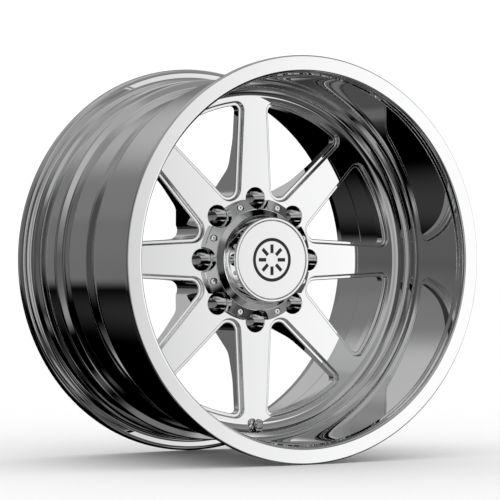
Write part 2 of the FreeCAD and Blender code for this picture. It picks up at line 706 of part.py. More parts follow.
def build():
    os.makedirs("parts", exist_ok=True)
    hole = valve_tool()
    nodes = {
        "barrel": turned(barrel_section()).cut(hole),
        "spoke_centre": spoke_centre(),
        "weld_bead_front": weld_bead_front().cut(hole),
        "weld_bead_rear": weld_bead_rear(),
        "cap_base_ring": cap_base_ring(),
        "cap_screws": cap_screws(),
        "cap_body": cap_body(),
        "cap_o_ring": cap_o_ring(),
        "cap_snap_ring": cap_snap_ring(),
        "cap_face_disc": cap_face_disc(),
        "cap_emblem": cap_emblem(),
        "valve_stem": valve_stem(),
        "valve_inner_grommet": valve_inner_grommet(),
        "valve_outer_grommet": valve_tube(GROMMET_R, VALVE_STEM_R, 0, VALVE_GROMMET_TOP),
        "valve_washer": valve_tube(WASHER_R, VALVE_STEM_R, VALVE_GROMMET_TOP, VALVE_WASHER_TOP),
        "valve_nut": valve_nut(),
        "valve_core_housing": valve_core_housing(),
        "valve_core_gasket": valve_tube(CORE_R + 0.06, CORE_R, VALVE_TOP - 7.2, VALVE_TOP - 6.0),
        "valve_core_pin": valve_core_pin(),
        "valve_core_seal": valve_tube(1.5, PIN_R, VALVE_TOP - 11.0, VALVE_TOP - 9.5),
        "valve_core_spring": valve_core_spring(),
        "valve_cap": valve_cap(),
        "valve_cap_seal": valve_tube(VALVE_THREAD_R, VALVE_AIR_R, VALVE_TOP + 0.1, VALVE_CAP_INNER_END),
    }
    for name, shape in nodes.items():
        save(name, shape)
        box = shape.BoundBox
        print("%-20s solids %d  volume %10.1f  y %.1f..%.1f" % (
            name, len(shape.Solids), shape.Volume, box.YMin, box.YMax))


build()
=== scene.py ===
import json
import math

import bpy
import numpy as np
from mathutils import Matrix, Vector
from mathutils.geometry import delaunay_2d_cdt


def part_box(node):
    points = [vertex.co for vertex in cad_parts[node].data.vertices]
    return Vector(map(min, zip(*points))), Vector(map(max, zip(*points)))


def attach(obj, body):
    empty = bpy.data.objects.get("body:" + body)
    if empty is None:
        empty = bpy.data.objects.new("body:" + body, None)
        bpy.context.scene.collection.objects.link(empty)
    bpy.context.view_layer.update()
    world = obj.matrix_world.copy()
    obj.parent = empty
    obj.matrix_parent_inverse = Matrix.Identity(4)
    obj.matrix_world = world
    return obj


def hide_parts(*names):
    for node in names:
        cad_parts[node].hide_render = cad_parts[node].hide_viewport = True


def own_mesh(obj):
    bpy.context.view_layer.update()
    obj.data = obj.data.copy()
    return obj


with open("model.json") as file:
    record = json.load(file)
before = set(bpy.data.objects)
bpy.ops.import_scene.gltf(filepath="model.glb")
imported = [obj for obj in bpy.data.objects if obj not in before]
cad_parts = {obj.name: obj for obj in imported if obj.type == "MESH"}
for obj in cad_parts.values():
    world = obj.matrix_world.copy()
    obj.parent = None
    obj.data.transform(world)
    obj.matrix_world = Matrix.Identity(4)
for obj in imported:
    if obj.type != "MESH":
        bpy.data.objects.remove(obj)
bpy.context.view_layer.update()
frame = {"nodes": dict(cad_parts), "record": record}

# The object is a polished forged wheel.  Its axis is Y, its outer face looks towards -Y
# and +Z is up.  Meshes are worked out in millimetres and stored in metres.

MM = 0.001
TINY = 1e-9
WHEEL = "wheel"


def node_box(node):
    """Lowest and highest corner of a CAD node, in millimetres."""
    low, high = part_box(node)
    return low / MM, high / MM


# ---- Sizes that the frame gives ----
barrel_low, barrel_high = node_box("barrel")
ring_low, ring_high = node_box("cap_base_ring")
centre_low, centre_high = node_box("spoke_centre")
cap_low, cap_high = node_box("cap_body")
FLANGE_R = round(barrel_high.x, 1)
HALF_WIDTH = round(barrel_high.y, 1)
FACE_Y = round(ring_high.y, 1)          # flat face of the spokes
CAP_RING_TOP_Y = round(ring_low.y, 1)
PAD_Y = round(centre_high.y, 1)         # mounting face
CAP_FACE_Y = round(cap_low.y, 1)

# ---- Rim section ----
# A pair named for a slope gives its size across the axis, then along it.
FLANGE_HEIGHT = 17.3
FLANGE_THICK = 12.4
FLANGE_EDGE = 7.6
FLANGE_SLOPE = 2.6                      # how much smaller the flange is on its tyre side
BEAD_SEAT_R = FLANGE_R - FLANGE_HEIGHT
HALF_SEATS = HALF_WIDTH - FLANGE_THICK
SEAT_LOW_R = BEAD_SEAT_R - 1.9
HUMP_R = BEAD_SEAT_R - 0.4
SEAT_WIDTH = 21.5                       # this and the two reaches start at the flange's tyre side
HUMP_REACH = 26.5
FRONT_WALL_REACH = 32.0
FRONT_WALL_R = 254.5
WELL_R = 243.6
WELL_Y = (14.0, 78.6)
REAR_BAND_R = 255.0
REAR_BAND_Y = (84.9, 109.0)
REAR_STEP_R = FRONT_WALL_R - 0.6
REAR_STEP_Y = (113.0, 119.5)
LIP_R = 248.0
LIP_FOOT_SLOPE = (2.6, 10.5)
LIP_MOUTH_R = 250.5
LIP_MOUTH_DEPTHS = (10.5, 14.0)         # where the step behind the mouth starts and ends
REAR_INNER_R = 249.0
REAR_MOUTH_SLOPE = (1.5, 16.0)
BORE_R = 238.2
BORE_STEP_Y = (82.9, 89.0)
LEDGE_Y = -34.0

# ---- Spoke centre ----
SPOKES = 8
SPOKE_STEP = 360.0 / SPOKES
RING_REAR_Y = 6.0
RING_CHAMFER = (4.0, 3.0)               # across the axis, then along it
FRONT_WELD_Y = FACE_Y + 0.6
COVE_START_R = 225.0
COVE_END = (236.2, -27.2)
SPOKE_GAUGE_R = 100.0
SPOKE_HALF = 23.3                       # half of a spoke's width at that radius
SPOKE_TAPER = 0.0476
WINDOW_OUTER_R = 219.8
WINDOW_TIP_ROUND = 17.5
WINDOW_CORNER_ROUND = 12.0
WINDOW_LEDGE = 5.5
EDGE_ROUND = 1.2                        # broken edges of the windows
LEDGE_FILLET = 1.8
SPOKE_BACK = [                          # r, y and rounding, from the ring in to the hub
    (WINDOW_OUTER_R - 4.0, -4.6, 10.0),
    (168.0, -3.8, 80.0),
    (131.0, 5.0, 25.0),
    (104.2, 40.0, 4.0),
]
PAD_R = 100.8
HUB_BORE_R = 62.55
HUB_CHAMFER = 1.5
HUB_COUNTERBORE_R = 64.0
HUB_COUNTERBORE_Y = -6.0
HUB_COUNTERBORE_SLOPE = 1.45
STUD_CIRCLE_R = 85.0
STUD_HOLE_R = 8.0
NUT_WELL_R = 14.7
NUT_WELL_DEPTH = 38.0
NUT_WELL_CHAMFER = 0.8
NUT_SEAT_HALF_ANGLE = 30.0
PAD_POCKET_R = 8.0
PAD_POCKET_DEPTH = 24.0
PAD_POCKET_CIRCLE_R = 80.0

# ---- Valve ----
VALVE_SEAT = Vector((0.0, -25.0, -234.0))
VALVE_LEAN = math.radians(38.0)
VALVE_GRIP = 15.2
VALVE_HOLE_R = 5.65
VALVE_SPOTFACE_R = 9.4
VALVE_FOOT_R = 8.8
VALVE_TOP = 12.6                        # end of the stem, from the seat
SPRING_DEPTH = 7.55                     # lower end of the core's spring, from the stem's end
SPRING_LOW = VALVE_TOP - SPRING_DEPTH
SPRING_HEIGHT = 3.3
SPRING_R = 1.2
SPRING_PITCH = 0.85
SPRING_WIRE_R = 0.2

TURNS = 360                             # segments round the wheel's axis
ARC_STEP = 4.0                          # degrees between the points of a rounding
MERGE_DISTANCE = 2e-6                   # metres


# ---- Outlines ----
def rotated(direction, angle):
    c, s = math.cos(angle), math.sin(angle)
    return (direction[0] * c - direction[1] * s, direction[0] * s + direction[1] * c)


def outline_stations(points, closed=True):
    """Points along an outline of (r, y, rounding), each with the outward normal before and after it.

    Material lies on the left of the outline's direction when its area is positive.
    """
    count = len(points)
    area = 0.0
    for i in range(count):
        r0, y0 = points[i - 1][:2]
        r1, y1 = points[i][:2]
        area += r0 * y1 - r1 * y0
    side = 1.0 if area > 0 else -1.0
    straight = 1e-4

    def heading(a, b):
        length = math.hypot(b[0] - a[0], b[1] - a[1])
        return ((b[0] - a[0]) / length, (b[1] - a[1]) / length)

    stations = []
    for i in range(count):
        here = points[i]
        first = not closed and i == 0
        last = not closed and i == count - 1
        ahead = None if last else heading(here, points[(i + 1) % count])
        back = ahead if first else heading(points[i - 1], here)
        ahead = ahead or back
        normal_in = (side * back[1], -side * back[0])
        normal_out = (side * ahead[1], -side * ahead[0])
        turn = math.atan2(back[0] * ahead[1] - back[1] * ahead[0],
                          back[0] * ahead[0] + back[1] * ahead[1])
        radius = here[2] if len(here) > 2 else 0.0
        if radius <= 0 or abs(turn) < straight or first or last:
            stations.append((here[0], here[1], normal_in, normal_out))
            continue
        bend = 1.0 if turn * side > 0 else -1.0
        setback = radius * math.tan(abs(turn) / 2)
        start = (here[0] - back[0] * setback, here[1] - back[1] * setback)
        centre = (start[0] - bend * radius * normal_in[0], start[1] - bend * radius * normal_in[1])
        steps = max(2, math.ceil(math.degrees(abs(turn)) / ARC_STEP))
        for k in range(steps + 1):
            normal = rotated(normal_in, turn * k / steps)
            r = centre[0] + bend * radius * normal[0]
            y = centre[1] + bend * radius * normal[1]
            stations.append((r, y, normal, normal))
    return stations


# ---- Meshes with an exact normal at every corner ----
class Skin:
    """Faces gathered in millimetres.  Rows are closed rings of (point, normal before, normal after)."""

    def __init__(self):
        self.points = []
        self.faces = []
        self.normals = []

    def face(self, corners):
        """One face of (point index, normal); its winding follows its normals."""
        a, b, c = [Vector(self.points[corner[0]]) for corner in corners[:3]]
        if len(corners) > 3 and (a - b).length < TINY:
            a = Vector(self.points[corners[3][0]])
        mean = Vector()
        for corner in corners:
            mean += Vector(corner[1])
        if (b - a).cross(c - b).dot(mean) < 0:
            corners = list(reversed(corners))
        self.faces.append([corner[0] for corner in corners])
        self.normals.extend(tuple(corner[1]) for corner in corners)

    def rows(self, rows, wrap=False):
        """Quads between rows; with wrap, the last row joins the first."""
        width = len(rows[0])
        base = len(self.points)
        for row in rows:
            self.points.extend(tuple(spot[0]) for spot in row)
        pairs = len(rows) if wrap else len(rows) - 1
        for i in range(pairs):
            j = (i + 1) % len(rows)
            for k in range(width):
                m = (k + 1) % width
                self.face([
                    (base + i * width + k, rows[i][k][2]),
                    (base + i * width + m, rows[i][m][2]),
                    (base + j * width + m, rows[j][m][1]),
                    (base + j * width + k, rows[j][k][1]),
                ])

    def close_ends(self, rows):
        """Flat faces over the first row, facing -Y, and over the last row, facing +Y."""
        for row, normal in ((rows[0], (0, -1, 0)), (rows[-1], (0, 1, 0))):
            base = len(self.points)
            self.points.extend(spot[0] for spot in row)
            self.face([(base + k, normal) for k in range(len(row))])

    def turn_round(self):
        """Turns a cutter's normals round, because its faces end up inside out on the cut piece."""
        self.normals = [(-n[0], -n[1], -n[2]) for n in self.normals]

    def sheet(self, loops, height, inner=()):
        """Triangles between closed loops of (x, z); height(x, z) gives y and the normal."""
        tolerance = 1e-7
        flat = []
        edges = []
        for loop in loops:
            base = len(flat)
            flat.extend(Vector(spot) for spot in loop)
            edges.extend((base + i, base + (i + 1) % len(loop)) for i in range(len(loop)))
        flat.extend(Vector(spot) for spot in inner)
        places, _, triangles, *_ = delaunay_2d_cdt(flat, edges, [], 0, tolerance)
        plan = np.array([tuple(spot) for spot in places])
        centres = plan[np.array(triangles)].mean(axis=1)
        crossings = sum(inside(centres, loop).astype(int) for loop in loops)
        base = len(self.points)
        heights = [height(x, z) for x, z in plan]
        self.points.extend((x, found[0], z) for (x, z), found in zip(plan, heights))
        for triangle, times in zip(triangles, crossings):
            if times % 2 == 1:
                self.face([(base + i, heights[i][1]) for i in triangle])

    def build(self, name):
        """Object in metres, welded where its patches meet."""
        mesh = bpy.data.meshes.new(name)
        mesh.from_pydata([[v * MM for v in point] for point in self.points], [], self.faces)
        exact = mesh.attributes.new("exact", "FLOAT_VECTOR", "CORNER")
        exact.data.foreach_set("vector", np.array(self.normals, np.float32).ravel())
        thing = bpy.data.objects.new(name, mesh)
        bpy.context.scene.collection.objects.link(thing)
        weld = thing.modifiers.new("weld", "WELD")
        weld.merge_threshold = MERGE_DISTANCE
        apply_modifiers(thing)
        return thing


def inside(places, loop):
    """Which of the (x, z) places lie inside a closed loop."""
    x, z = places[:, 0], places[:, 1]
    found = np.zeros(len(places), bool)
    for i in range(len(loop)):
        (x0, z0), (x1, z1) = loop[i - 1], loop[i]
        if z0 == z1:
            continue
        spans = (z0 > z) != (z1 > z)
        found ^= spans & (x < x0 + (z - z0) * (x1 - x0) / (z1 - z0))
    return found


def apply_modifiers(thing):
    graph = bpy.context.evaluated_depsgraph_get()
    made = bpy.data.meshes.new_from_object(thing.evaluated_get(graph))
    old = thing.data
    thing.modifiers.clear()
    thing.data = made
    made.name = old.name
    bpy.data.meshes.remove(old)


def cut(thing, cutter):
    """Cuts the cutter out of a mesh; both keep their stored normals."""
    hole = thing.modifiers.new("hole", "BOOLEAN")
    hole.operation = "DIFFERENCE"
    hole.solver = "EXACT"
    hole.object = cutter
    apply_modifiers(thing)


def smooth_faces(thing):
    thing.data.polygons.foreach_set("use_smooth", [True] * len(thing.data.polygons))


def use_exact_normals(thing):
    """Shades a piece by the normals stored at its corners."""
    mesh = thing.data
    stored = np.zeros(len(mesh.loops) * 3, np.float32)
    mesh.attributes["exact"].data.foreach_get("vector", stored)
    stored = stored.reshape(-1, 3)
    length = np.linalg.norm(stored, axis=1, keepdims=True)
    stored = stored / np.maximum(length, TINY)
    smooth_faces(thing)
    mesh.normals_split_custom_set([tuple(normal) for normal in stored])
    mesh.attributes.remove(mesh.attributes["exact"])


def turned_row(station, segments):
    """Ring about the wheel's axis through one station."""
    r, y, before, after = station
    row = []
    for k in range(segments):
        angle = 2 * math.pi * k / segments
        c, s = math.cos(angle), math.sin(angle)
        row.append(((r * c, y, r * s),
                    (before[0] * c, before[1], before[0] * s),
                    (after[0] * c, after[1], after[0] * s)))
    return row


def turned_rows(stations, segments=TURNS):
    return [turned_row(station, segments) for station in stations]


def place(thing, body, slot_name, *nodes):
    """Gives a finished piece the material of the named slot and its body, and hides the CAD nodes it stands
    for.
    """
    dress(thing, slot_name)
    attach(thing, body)
    if nodes:
        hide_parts(*nodes)


# ---- Rim ----
def rim_flange(side):
    """Flange, bead seat and hump of one side, from the outside in."""
    return [
        (FLANGE_R, side * HALF_WIDTH, 2.0),
        (FLANGE_R, side * (HALF_WIDTH - FLANGE_EDGE), 1.2),
        (FLANGE_R - FLANGE_SLOPE, side * HALF_SEATS, 6.5),
        (BEAD_SEAT_R, side * HALF_SEATS, 6.0),
        (SEAT_LOW_R, side * (HALF_SEATS - SEAT_WIDTH), 4.0),
        (HUMP_R, side * (HALF_SEATS - HUMP_REACH), 3.0),
    ]


def barrel_outline():
    foot_across, foot_along = LIP_FOOT_SLOPE
    mouth_start, mouth_end = LIP_MOUTH_DEPTHS
    rear_across, rear_along = REAR_MOUTH_SLOPE
    well = [
        (FRONT_WALL_R, -HALF_SEATS + FRONT_WALL_REACH, 5.0),
        (FRONT_WALL_R, LEDGE_Y, 30.0),
        (WELL_R, WELL_Y[0], 20.0),
        (WELL_R, WELL_Y[1], 6.0),
        (REAR_BAND_R, REAR_BAND_Y[0], 4.0),
        (REAR_BAND_R, REAR_BAND_Y[1], 2.5),
        (REAR_STEP_R, REAR_STEP_Y[0], 2.5),
        (REAR_STEP_R, REAR_STEP_Y[1], 2.5),
    ]
    bore = [
        (REAR_INNER_R + rear_across, HALF_WIDTH, 4.0),
        (REAR_INNER_R, HALF_WIDTH - rear_along, 20.0),
        (REAR_INNER_R, BORE_STEP_Y[1], 9.0),
        (BORE_R, BORE_STEP_Y[0], 9.0),
        (BORE_R, LEDGE_Y, 0.5),
        (LIP_R - foot_across, LEDGE_Y, 2.5),
        (LIP_R, LEDGE_Y - foot_along, 8.0),
        (LIP_R, -HALF_WIDTH + mouth_end, 3.0),
        (LIP_MOUTH_R, -HALF_WIDTH + mouth_start, 2.0),
        (LIP_MOUTH_R, -HALF_WIDTH, 4.1),
    ]
    return rim_flange(-1) + well + list(reversed(rim_flange(1))) + bore


def valve_cutter():
    """The valve's hole with its spotface and the seat of its foot, as a solid to cut away."""
    inner_end, outer_end = -60.0, 24.0      # clear of the metal on both sides
    segments = 72
    stations = outline_stations([
        (0.0, inner_end),
        (VALVE_FOOT_R, inner_end),
        (VALVE_FOOT_R, -VALVE_GRIP),
        (VALVE_HOLE_R, -VALVE_GRIP),
        (VALVE_HOLE_R, 0.0),
        (VALVE_SPOTFACE_R, 0.0),
        (VALVE_SPOTFACE_R, outer_end),
        (0.0, outer_end),
    ])
    skin = Skin()
    rows = turned_rows(stations[1:-1], segments)
    skin.rows(rows)
    skin.close_ends(rows)
    skin.turn_round()
    cutter = skin.build("valve_cutter")
    lean = Matrix.Rotation(VALVE_LEAN + math.pi / 2, 4, "X")
    turn_normals(cutter, lean.to_3x3())
    cutter.data.transform(Matrix.Translation(VALVE_SEAT * MM) @ lean)
    return cutter


def turn_normals(thing, rotation):
    data = thing.data.attributes["exact"].data
    stored = np.zeros(len(data) * 3, np.float32)
    data.foreach_get("vector", stored)
    stored = stored.reshape(-1, 3) @ np.array(rotation, np.float32).T
    data.foreach_set("vector", stored.ravel())


def build_barrel(cutter):
    skin = Skin()
    skin.rows(turned_rows(outline_stations(barrel_outline())), wrap=True)
    barrel = skin.build("rim_barrel")
    cut(barrel, cutter)
    use_exact_normals(barrel)
    place(barrel, WHEEL, "polished_forging", "barrel")


def build_front_weld(cutter):
    skin = Skin()
    stations = outline_stations([COVE_END, (BORE_R, LEDGE_Y), (BORE_R, FRONT_WELD_Y)])
    skin.rows(turned_rows(stations), wrap=True)
    weld = skin.build("front_weld")
    cut(weld, cutter)
    use_exact_normals(weld)
    place(weld, WHEEL, "weld_metal", "weld_bead_front")


# ---- Spoke centre ----
def centre_outline():
    rise = FACE_Y - COVE_END[1]
    run = COVE_END[0] - COVE_START_R
    radius = (run ** 2 + rise ** 2) / (2 * rise)
    sweep = math.asin(run / radius)
    chamfer_across, chamfer_along = RING_CHAMFER
    return [
        (HUB_COUNTERBORE_R, FACE_Y),
        (COVE_START_R + radius * math.tan(sweep / 2), FACE_Y, radius),
        COVE_END,
        (BORE_R, FRONT_WELD_Y),
        (BORE_R, RING_REAR_Y - chamfer_along),
        (BORE_R - chamfer_across, RING_REAR_Y),
        (WINDOW_OUTER_R + 5.0, RING_REAR_Y, 3.0),
        *SPOKE_BACK,
        (PAD_R, PAD_Y, 2.0),
        (HUB_BORE_R + HUB_CHAMFER, PAD_Y),
        (HUB_BORE_R, PAD_Y - HUB_CHAMFER),
        (HUB_BORE_R, HUB_COUNTERBORE_Y),
        (HUB_COUNTERBORE_R, HUB_COUNTERBORE_Y - HUB_COUNTERBORE_SLOPE),
    ]


def window_loop(inset):
    """Outline of the window centred on +X: (x, z, direction into the opening) all the way round."""
    near_r, far_r = 60.0, 240.0             # two points that give the line of a spoke's side
    round_steps, line_steps, rim_steps = 14, 36, 24
    half_step = math.radians(SPOKE_STEP / 2)
    spoke = (math.cos(half_step), math.sin(half_step))
    towards = (math.sin(half_step), -math.cos(half_step))

    def side_point(radius):
        half_width = SPOKE_HALF - SPOKE_TAPER * (radius - SPOKE_GAUGE_R) + inset
        return (spoke[0] * radius + towards[0] * half_width, spoke[1] * radius + towards[1] * half_width)

    near, far = side_point(near_r), side_point(far_r)
    alpha = math.atan2(far[1] - near[1], far[0] - near[0])
    along = (math.cos(alpha), math.sin(alpha))
    inward = (math.sin(alpha), -math.cos(alpha))
    tip_x = near[0] - near[1] / math.tan(alpha)
    outer_r = WINDOW_OUTER_R - inset
    tip_round = WINDOW_TIP_ROUND - inset
    corner_round = WINDOW_CORNER_ROUND - inset
    tip_centre = (tip_x + tip_round / math.sin(alpha), 0.0)
    # The corner's centre lies on the side line moved in by its radius, and outer_r less its radius out.
    base = (tip_x + inward[0] * corner_round, inward[1] * corner_round)
    dot = base[0] * along[0] + base[1] * along[1]
    reach = (outer_r - corner_round) ** 2 - (base[0] ** 2 + base[1] ** 2)
    length = -dot + math.sqrt(dot * dot + reach)
    corner_centre = (base[0] + along[0] * length, base[1] + along[1] * length)
    corner_angle = math.atan2(corner_centre[1], corner_centre[0])
    line_angle = alpha + math.pi / 2

    def arc(centre, radius, first, last, steps):
        found = []
        for k in range(steps):
            angle = first + (last - first) * k / steps
            c, s = math.cos(angle), math.sin(angle)
            found.append((centre[0] + radius * c, centre[1] + radius * s, (-c, -s)))
        return found

    start = (tip_centre[0] + tip_round * math.cos(line_angle), tip_round * math.sin(line_angle))
    end = (corner_centre[0] + corner_round * math.cos(line_angle),
           corner_centre[1] + corner_round * math.sin(line_angle))
    upper = arc(tip_centre, tip_round, math.pi, line_angle, round_steps)
    for k in range(line_steps):
        share = k / line_steps
        upper.append((start[0] + (end[0] - start[0]) * share,
                      start[1] + (end[1] - start[1]) * share, inward))
    upper += arc(corner_centre, corner_round, line_angle, corner_angle, round_steps)
    upper += arc((0.0, 0.0), outer_r, corner_angle, 0.0, rim_steps)
    crest = (outer_r, 0.0, (-1.0, 0.0))
    lower = [(x, -z, (n[0], -n[1])) for x, z, n in reversed(upper[1:])]
    return upper + [crest] + lower


def turn_plan(x, z, angle):
    c, s = math.cos(angle), math.sin(angle)
    return (x * c - z * s, x * s + z * c)


def window_rows(angle, back_height):
    """Rows down one window's wall: broken edge, wall, ledge with its fillet, lower wall."""
    ledge_y = FACE_Y + WINDOW_LEDGE
    steps = 5
    plan = []

    def broken_edge(inset, y):
        for k in range(steps + 1):
            phi = math.pi / 2 * k / steps
            plan.append((inset - EDGE_ROUND * (1 - math.sin(phi)), y + EDGE_ROUND * (1 - math.cos(phi)), phi))

    broken_edge(0.0, FACE_Y)
    for k in range(steps + 1):
        phi = math.pi / 2 * (1 - k / steps)
        plan.append((LEDGE_FILLET * (1 - math.sin(phi)), ledge_y - LEDGE_FILLET * (1 - math.cos(phi)), phi))
    broken_edge(WINDOW_LEDGE, ledge_y)
    plan.append((WINDOW_LEDGE, None, math.pi / 2))
    rows = []
    for inset, y, phi in plan:
        row = []
        for x, z, into in window_loop(inset):
            spot = turn_plan(x, z, angle)
            into = turn_plan(into[0], into[1], angle)
            height = back_height(*spot)[0] if y is None else y
            normal = (into[0] * math.sin(phi), -math.cos(phi), into[1] * math.sin(phi))
            row.append(((spot[0], height, spot[1]), normal, normal))
        rows.append(row)
    return rows


def hole_rows(stations, x, z, segments):
    """Rows down a round hole whose axis is parallel to Y."""
    rows = []
    for r, y, before, after in stations:
        row = []
        for k in range(segments):
            angle = 2 * math.pi * k / segments
            c, s = math.cos(angle), math.sin(angle)
            row.append(((x + r * c, y, z + r * s),
                        (-before[0] * c, before[1], -before[0] * s),
                        (-after[0] * c, after[1], -after[0] * s)))
        rows.append(row)
    return rows


def plan_of(row):
    return [(spot[0][0], spot[0][2]) for spot in row]


def spoke_angles(offset=0.0):
    return [math.radians(offset + i * SPOKE_STEP) for i in range(SPOKES)]


def nut_well():
    """Stations down a nut's well, its conical seat and the stud hole."""
    seat_height = (NUT_WELL_R - STUD_HOLE_R) / math.tan(math.radians(NUT_SEAT_HALF_ANGLE))
    seat_top = FACE_Y + NUT_WELL_DEPTH
    return facing_in(outline_stations([
        (NUT_WELL_R + NUT_WELL_CHAMFER, FACE_Y),
        (NUT_WELL_R, FACE_Y + NUT_WELL_CHAMFER, 0.6),
        (NUT_WELL_R, seat_top, 1.0),
        (STUD_HOLE_R, seat_top + seat_height, 0.6),
        (STUD_HOLE_R, PAD_Y),
    ], closed=False))


def build_spoke_centre(cutter):
    """Turned outer ring and hub bore, eight windows and the holes, joined by a front and a back sheet."""
    well_segments, pocket_segments, ring_points = 64, 40, 120
    ring_inner_r = WINDOW_OUTER_R + 2.0
    pad_edge_r = PAD_R - 1.5
    stations = outline_stations(centre_outline())
    flat_end = 1
    back_start = max(i for i, s in enumerate(stations) if s[0] > ring_inner_r)
    back_end = max(i for i, s in enumerate(stations) if s[1] > PAD_Y - TINY)
    back = stations[back_start:back_end + 1]
    back_r = [s[0] for s in reversed(back)]
    back_y = [s[1] for s in reversed(back)]
    back_n = [s[3] for s in reversed(back)]

    def back_height(x, z):
        r = math.hypot(x, z)
        y = float(np.interp(r, back_r, back_y))
        nr = float(np.interp(r, back_r, [n[0] for n in back_n]))
        ny = float(np.interp(r, back_r, [n[1] for n in back_n]))
        size = math.hypot(nr, ny) or 1.0
        return y, (nr * x / r / size, ny / size, nr * z / r / size)

    def face_height(x, z):
        return FACE_Y, (0.0, -1.0, 0.0)

    skin = Skin()
    outer = turned_rows(stations[flat_end:back_start + 1])
    bore = turned_rows(stations[back_end:] + stations[:1])
    skin.rows(outer)
    skin.rows(bore)
    front_loops = [plan_of(outer[0]), plan_of(bore[-1])]
    back_loops = [plan_of(outer[-1]), plan_of(bore[0])]

    for angle in spoke_angles(SPOKE_STEP / 2):
        rows = window_rows(angle, back_height)
        skin.rows(rows)
        front_loops.append(plan_of(rows[0]))
        back_loops.append(plan_of(rows[-1]))

    for angle in spoke_angles():
        x, z = turn_plan(STUD_CIRCLE_R, 0.0, angle)
        rows = hole_rows(nut_well(), x, z, well_segments)
        skin.rows(rows)
        front_loops.append(plan_of(rows[0]))
        back_loops.append(plan_of(rows[-1]))

    pocket_floor = PAD_Y - PAD_POCKET_DEPTH
    pocket = [(PAD_POCKET_R, PAD_Y, (1, 0), (1, 0)), (PAD_POCKET_R, pocket_floor, (1, 0), (1, 0))]
    for angle in spoke_angles(SPOKE_STEP / 2):
        x, z = turn_plan(PAD_POCKET_CIRCLE_R, 0.0, angle)
        rows = hole_rows(pocket, x, z, pocket_segments)
        skin.rows(rows)
        back_loops.append(plan_of(rows[0]))
        skin.sheet([plan_of(rows[-1])], lambda x, z: (pocket_floor, (0.0, 1.0, 0.0)))

    skin.sheet(front_loops, face_height)
    inner = []
    for station in back[1:-1]:
        if station[0] > pad_edge_r:
            turns = [2 * math.pi * (k + 0.5) / ring_points for k in range(ring_points)]
            inner += [turn_plan(station[0], 0.0, turn) for turn in turns]
    openings = back_loops[2:]
    places = np.array(inner)
    keep = ~np.any([inside(places, loop) for loop in openings], axis=0)
    skin.sheet(back_loops, back_height, [tuple(spot) for spot in places[keep]])

    centre = skin.build("spoke_star")
    cut(centre, cutter)
    use_exact_normals(centre)
    place(centre, WHEEL, "polished_forging", "spoke_centre")


def facing_in(stations):
    """Stations of a hole's wall with their radial normals counted towards the hole's axis."""
    turned = []
    for r, y, before, after in stations:
        sign = 1.0 if before[0] >= 0 else -1.0
        turned.append((r, y, (abs(before[0]), sign * before[1]), (abs(after[0]), sign * after[1])))
    return turned


# ---- Hub cap ----
CAP_DISC_R = 54.1
CAP_WALL_R = 58.9
CAP_FLANGE_R = 69.4
CAP_SPIGOT_R = 59.6
CAP_SHELL = 4.0
CAP_FOOT_THICK = 1.2
CAP_FLARE_Y = -43.0                        # where the wall starts to flare
CAP_FLARE_ROUND = 7.0
CAP_END_THICK = 5.0
DISC_SEAT_DEPTH = 2.0
DISC_GAP = 0.2
DISC_SINK = 0.6
SEAM_ROUND = 1.0                           # broken edges on both sides of the disc's seam
MARK_RING = (25.5, 30.0)                   # inner and outer radius of the plain mark's ring
MARK_BAR = (9.0, 12.0, 5.0)                # start radius, length and width of its bars
MARK_DEPTH = 0.6
SPIGOT_TIP_Y = FACE_Y + 4.6
O_RING_GROOVE = (-31.4, -28.8, 1.3)        # from y, to y, depth
SNAP_RING_GROOVE = (1.6, 1.2)              # width and depth
CAP_TAB_R = 84.7
CAP_TAB_EDGE_Y = -29.4
CAP_TAB_ROUND = 0.35
CAP_TAB_CHAMFER = (0.6, 0.8)               # across the axis, then along it
CAP_RING_SHOULDER = 0.6                    # flat left round the cap's foot
CAP_RING_BORE_R = 60.2
CAP_SCREW_CIRCLE_R = 77.2
CAP_SCREW_R = 2.5
CAP_SCREW_HEAD_R = 4.25
CAP_SCREW_GAP = 0.25                       # round the shank
CAP_SCREW_HEAD_GAP = 0.75
CAP_SCREW_SEAT_Y = -28.2                   # under the screws' heads
NOTCH_R = 17.0
NOTCH_X = STUD_CIRCLE_R + 0.8
FLARE_FROM = (-5.0, -0.8)                  # x from the notch's centre, width past its radius
FLARE_TO = (6.0, 4.6)


def build_cap_body():
    flange_y = CAP_RING_TOP_Y - CAP_FOOT_THICK
    disc_floor = CAP_FACE_Y + DISC_SEAT_DEPTH
    inner_end = CAP_FACE_Y + CAP_END_THICK
    groove_from, groove_to, groove_depth = O_RING_GROOVE
    snap_width, snap_depth = SNAP_RING_GROOVE
    outline = [
        (0.0, disc_floor),
        (CAP_DISC_R, disc_floor),
        (CAP_DISC_R, CAP_FACE_Y, SEAM_ROUND),
        (CAP_WALL_R, CAP_FACE_Y, 2.0),
        (CAP_WALL_R, CAP_FLARE_Y, CAP_FLARE_ROUND),
        (CAP_FLANGE_R, flange_y, 0.5),
        (CAP_FLANGE_R, CAP_RING_TOP_Y),
        (CAP_SPIGOT_R, CAP_RING_TOP_Y),
        (CAP_SPIGOT_R, groove_from),
        (CAP_SPIGOT_R - groove_depth, groove_from),
        (CAP_SPIGOT_R - groove_depth, groove_to),
        (CAP_SPIGOT_R, groove_to),
        (CAP_SPIGOT_R, FACE_Y),
        (CAP_SPIGOT_R - snap_depth, FACE_Y),
        (CAP_SPIGOT_R - snap_depth, FACE_Y + snap_width),
        (CAP_SPIGOT_R, FACE_Y + snap_width),
        (CAP_SPIGOT_R, SPIGOT_TIP_Y, 0.8),
        (CAP_SPIGOT_R - CAP_SHELL, SPIGOT_TIP_Y),
        (CAP_SPIGOT_R - CAP_SHELL, inner_end, 3.0),
        (0.0, inner_end),
    ]
    skin = Skin()
    rows = turned_rows(outline_stations(outline)[1:-1])
    skin.rows(rows)
    skin.close_ends(rows)
    cap = skin.build("hub_cap")
    use_exact_normals(cap)
    place(cap, WHEEL, "cap_chrome", "cap_body")


